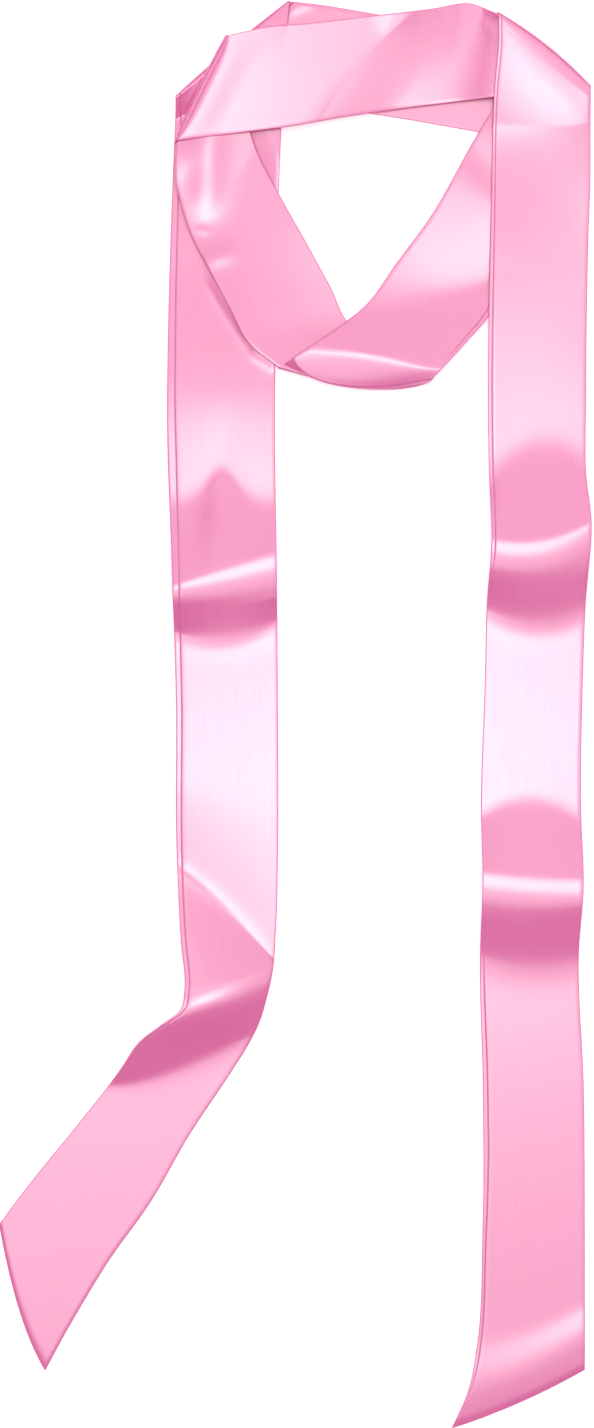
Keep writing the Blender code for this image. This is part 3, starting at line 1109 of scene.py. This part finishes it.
@dataclass(frozen=True)
class Satin:
    """The finish of the scarf: a glossy warp-faced satin.

    Fine threads and soft streaks run along it and picks across it. Each kind of mark has its
    width, its run along the scarf and its share of the relief.
    """

    pink: tuple[float, float, float, float] = (0.83, 0.118, 0.385, 1.0)
    light_pink: tuple[float, float, float, float] = (0.90, 0.168, 0.45, 1.0)
    # The pink along the seam: partly the seam line's own colour, partly painted shade of its
    # groove.
    shaded_seam_pink: tuple[float, float, float, float] = (0.58, 0.08, 0.23, 1.0)
    roughness: float = 0.25
    roughness_spread: float = 0.03
    anisotropy: float = 0.5
    gloss: float = 1.0
    refraction: float = 1.7
    sheen: float = 0.08
    sheen_roughness: float = 0.4
    thread: float = 0.35 * MM
    thread_run: float = 14.0 * MM
    thread_relief: float = 0.6
    pick: float = 2.0 * MM
    pick_run: float = 0.5 * MM
    pick_relief: float = 0.15
    streak: float = 1.6 * MM
    streak_run: float = 45.0 * MM
    streak_relief: float = 0.25
    relief: float = 0.02 * MM
    relief_strength: float = 0.3
    # How far the colour along the seam goes to that pink, partly painted shade of its groove.
    seam_shade_share: float = 0.75
    seam_roughness: float = 0.2

    def noise(self, graph: Graph, cloth: Wire, wide: float, long: float, detail: float) -> Wire:
        """A noise stretched along the threads.

        Args:
            graph: The material's graph.
            cloth: The cloth's coordinates.
            wide: The size of its marks across the threads.
            long: Their size along the threads.
            detail: How many finer layers it has.

        Returns:
            A value from 0 to 1.
        """
        scale = (1 / wide, 1 / long, 1.0)
        scaled = graph.wire("ShaderNodeMapping", inputs={"Vector": cloth, "Scale": scale})
        settings = {"Vector": scaled, "Scale": 1.0, "Detail": detail}
        return graph.wire("ShaderNodeTexNoise", inputs=settings)

    def material(self, name: str) -> bpy.types.Material:
        """Make the material.

        Args:
            name: Its name.

        Returns:
            The material.
        """
        graph = Graph(name)
        cloth = graph.wire("ShaderNodeUVMap", {"uv_map": "cloth"})
        threads = self.noise(graph, cloth, self.thread, self.thread_run, 1.0)
        streaks = self.noise(graph, cloth, self.streak, self.streak_run, 2.0)
        picks = self.noise(graph, cloth, self.pick, self.pick_run, 1.0)
        seam = graph.wire("ShaderNodeAttribute", {"attribute_name": "seam"}, output="Fac")
        grain = threads * 0.5 + streaks * 0.5
        base = graph.mix(grain, self.pink, self.light_pink)
        # Darken the colour along the seam: partly its line's own colour, partly painted shade of
        # its groove.
        colour = graph.mix(seam * self.seam_shade_share, base, self.shaded_seam_pink)
        spread = (grain - 0.5) * (2 * self.roughness_spread)
        roughness = spread + self.roughness + seam * self.seam_roughness
        ridges = threads * self.thread_relief + picks * self.pick_relief
        height = ridges + streaks * self.streak_relief
        normal = graph.wire("ShaderNodeBump", inputs={
            "Strength": self.relief_strength,
            "Distance": self.relief,
            "Height": height,
        })
        return graph.finished({
            "Base Color": colour,
            "Roughness": roughness,
            "IOR": self.refraction,
            "Specular IOR Level": self.gloss,
            "Anisotropic": self.anisotropy,
            "Sheen Weight": self.sheen,
            "Sheen Roughness": self.sheen_roughness,
            "Normal": normal,
        })


@dataclass(frozen=True)
class Studio:
    """The white table, the soft lights and the camera straight above.

    Each panel's reach is its low X, low Y, high X and high Y, in metres.
    """

    floor_size: float = 8.0
    floor_drop: float = 0.02 * MM
    floor_colour: tuple[float, float, float, float] = (0.9, 0.9, 0.9, 1.0)
    floor_roughness: float = 0.9
    floor_gloss: float = 0.1
    floor_glow: float = 0.4
    photo_height: int = 1428
    pixel: float = 0.51 * MM
    centre_x: float = 0.76 * MM
    centre_y: float = 0.08 * MM
    lens: float = 100.0
    film: float = 36.0
    key_height: float = 9.0
    key_reach: tuple[float, float, float, float] = (-0.61, -0.52, 1.05, 0.37)
    key_radiance: float = 14.6
    key_tint: tuple[float, float, float] = (1.0, 1.0, 0.9)
    fill_height: float = 4.7
    fill_reach: tuple[float, float, float, float] = (-1.5, -1.35, 3.2, 5.0)
    fill_radiance: float = 1.6
    side_height: float = 4.6
    side_reach: tuple[float, float, float, float] = (-1.3, -1.25, -0.12, -0.45)
    side_radiance: float = 2.0
    back_reach: tuple[float, float, float, float] = (-6.5, 0.3, -2.6, 5.0)
    world: float = 0.32

    def floor(self) -> None:
        """Lay the white table top."""
        middle = (0.0, 0.0, -self.floor_drop)
        bpy.ops.mesh.primitive_plane_add(size=self.floor_size, location=middle)
        floor = bpy.context.object
        floor.name = "floor"
        floor.data.materials.append(Graph("white_table").finished({
            "Base Color": self.floor_colour,
            "Roughness": self.floor_roughness,
            "Specular IOR Level": self.floor_gloss,
            "Emission Color": WHITE,
            "Emission Strength": self.floor_glow,
        }))

    def panel(self, name: str, height: float, reach: tuple, radiance: float) -> bpy.types.Object:
        """Hang a soft panel that faces straight down.

        Args:
            name: Its name.
            height: Its height above the table.
            reach: Its low X, low Y, high X and high Y.
            radiance: How bright it looks.

        Returns:
            The light's object.
        """
        low_x, low_y, high_x, high_y = reach
        lamp = bpy.data.lights.new(name, "AREA")
        lamp.shape = "RECTANGLE"
        lamp.size = high_x - low_x
        lamp.size_y = high_y - low_y
        lamp.energy = radiance * math.pi * lamp.size * lamp.size_y
        light = placed(name, lamp)
        light.location = ((low_x + high_x) / 2, (low_y + high_y) / 2, height)
        light.visible_camera = False
        return light

    def light(self) -> None:
        """Hang the panels and set the soft light from all round."""
        key = self.panel("key_panel", self.key_height, self.key_reach, self.key_radiance)
        key.data.color = self.key_tint
        self.panel("fill_panel", self.fill_height, self.fill_reach, self.fill_radiance)
        self.panel("side_panel", self.side_height, self.side_reach, self.side_radiance)
        self.panel("back_panel", self.fill_height, self.back_reach, self.fill_radiance)
        world = bpy.data.worlds.new("studio")
        world.use_nodes = True
        sky = world.node_tree.nodes["Background"]
        sky.inputs["Color"].default_value = WHITE
        sky.inputs["Strength"].default_value = self.world
        bpy.context.scene.world = world
        bpy.context.scene.view_settings.view_transform = "Standard"

    def camera(self) -> None:
        """Set the camera straight above, framed as the photo is."""
        camera = bpy.data.cameras.new("camera")
        camera.sensor_fit = "VERTICAL"
        camera.sensor_height = self.film
        camera.lens = self.lens
        height = self.photo_height * self.pixel * self.lens / self.film
        eye = placed("camera", camera)
        eye.location = (self.centre_x, self.centre_y, height)
        bpy.context.scene.camera = eye


@dataclass
class Scarf:
    """The whole scarf, as its six stretches of cloth."""

    satin: Satin
    tubes: tuple[PressedTube, ...] = STRETCHES

    def grain(self, tube: PressedTube, mesh: bpy.types.Mesh) -> None:
        """Turn the gloss of a stretch to its threads, which run along it.

        Args:
            tube: The stretch.
            mesh: Its mesh.
        """
        lines = tube.section_lines()
        run = unit(lines[-1].mean(axis=0) - lines[0].mean(axis=0))
        mesh.use_auto_texspace = False
        mesh.texspace_location = (run[0] * GRAIN_REACH, run[1] * GRAIN_REACH, 0.0)
        mesh.texspace_size = (1.0, 1.0, 1.0)

    def build(self) -> None:
        """Make and dress each stretch, hang it on the body and hide its CAD part."""
        for tube in self.tubes:
            piece = tube.build()
            self.grain(tube, piece.data)
            piece.data.materials.append(self.satin.material(tube.name + "_satin"))
            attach(piece, BODY)
            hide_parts(tube.name)
            tube.flat_width * MM
            tube.flat_length * MM
            log.info("%s: %d faces", piece.name, len(piece.data.polygons))


def write_sizes() -> None:
    """Bring the scene's view layer up to date."""
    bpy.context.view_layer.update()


def main() -> None:
    """Build the scene in order."""
    logging.basicConfig(level=logging.INFO, format="%(message)s")
    studio = Studio()
    studio.floor()
    studio.light()
    studio.camera()
    Scarf(Satin()).build()
    write_sizes()


if __name__ == "__main__":
    main()
